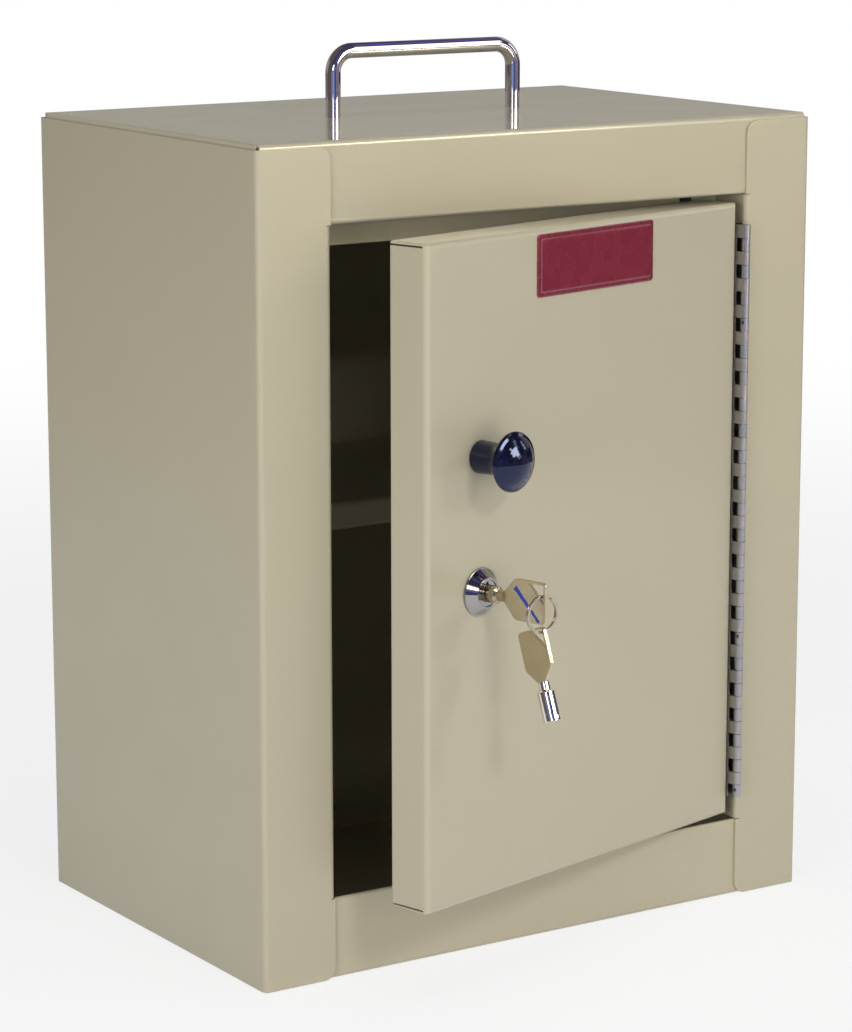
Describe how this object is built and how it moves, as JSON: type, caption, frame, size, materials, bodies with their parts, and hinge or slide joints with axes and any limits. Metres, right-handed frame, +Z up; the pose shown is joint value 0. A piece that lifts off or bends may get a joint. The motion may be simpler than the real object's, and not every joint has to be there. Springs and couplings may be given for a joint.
{
  "type": "medicine cabinet",
  "caption": "Lockable sheet-steel medicine cabinet with an inset door on a continuous hinge, a shelf, a pull knob, a tubular cam lock with keys on a split ring and a wire carrying handle.",
  "frame": {"origin": "centre of the cabinet's base, on the underside of the bottom panel", "axes": "+Z up, -Y out of the door's side, +X to the right as one faces the door"},
  "size_m": [0.3048, 0.2948, 0.4151],
  "materials": {
    "door_paint": "satin beige enamel",
    "body_paint": "satin beige enamel",
    "inner_paint": "satin beige enamel",
    "hinge_steel": "plated steel",
    "chrome": "polished",
    "zinc": "zinc plated",
    "knob": "gloss black",
    "nameplate": "crimson enamel in a bare border",
    "key_metal": "dull nickel plate",
    "key_barrel": "bright nickel plate",
    "ring_steel": "bright spring steel",
    "rubber": "matt black"
  },
  "bodies": {
    "cabinet": {"side_panel_left": "body_paint", "side_panel_right": "body_paint", "top_panel": "body_paint", "bottom_panel": "body_paint", "back_panel": "inner_paint", "shelf": "inner_paint", "door_bumper": "rubber", "carry_handle": "chrome", "handle_screws": "zinc", "hinge_frame_leaf": "hinge_steel", "hinge_pin": "hinge_steel"},
    "door": {"door_panel": "door_paint", "hinge_door_leaf": "hinge_steel", "nameplate": "nameplate", "pull_knob": "knob", "knob_screw": "zinc", "lock_housing": "chrome", "lock_nut": "zinc"},
    "plug": {"lock_plug": "chrome", "lock_cam": "zinc", "cam_screw": "zinc"},
    "key": {"key_barrel": "key_barrel", "key_bow": "key_metal"},
    "ring": {"key_ring": "ring_steel"},
    "spare_key": {"spare_key_barrel": "key_barrel", "spare_key_bow": "key_metal"}
  },
  "joints": [
    {"name": "door_hinge", "type": "hinge", "parent": "cabinet", "child": "door", "pos_m": [0.1127, -0.1045, 0.1905], "axis": [0, 0, 1], "range_deg": [-14.4, 175]},
    {"name": "lock_turn", "type": "hinge", "parent": "door", "child": "plug", "pos_m": [-0.06702, -0.14682, 0.1834], "axis": [-0.2487, 0.9686, 0], "range_deg": [0, 90]},
    {"name": "key_pull", "type": "slide", "parent": "plug", "child": "key", "axis": [0.2487, -0.9686, 0], "range_m": [0, 0.02]},
    {"name": "ring_swing", "type": "hinge", "parent": "key", "child": "ring", "pos_m": [-0.05803, -0.18184, 0.1866], "axis": [-0.9976, -0.0698, 0], "range_deg": [-8, 110]},
    {"name": "spare_swing", "type": "hinge", "parent": "ring", "child": "spare_key", "pos_m": [-0.05803, -0.18184, 0.1707], "axis": [-0.9976, -0.0698, 0], "range_deg": [-12, 75]}
  ]
}
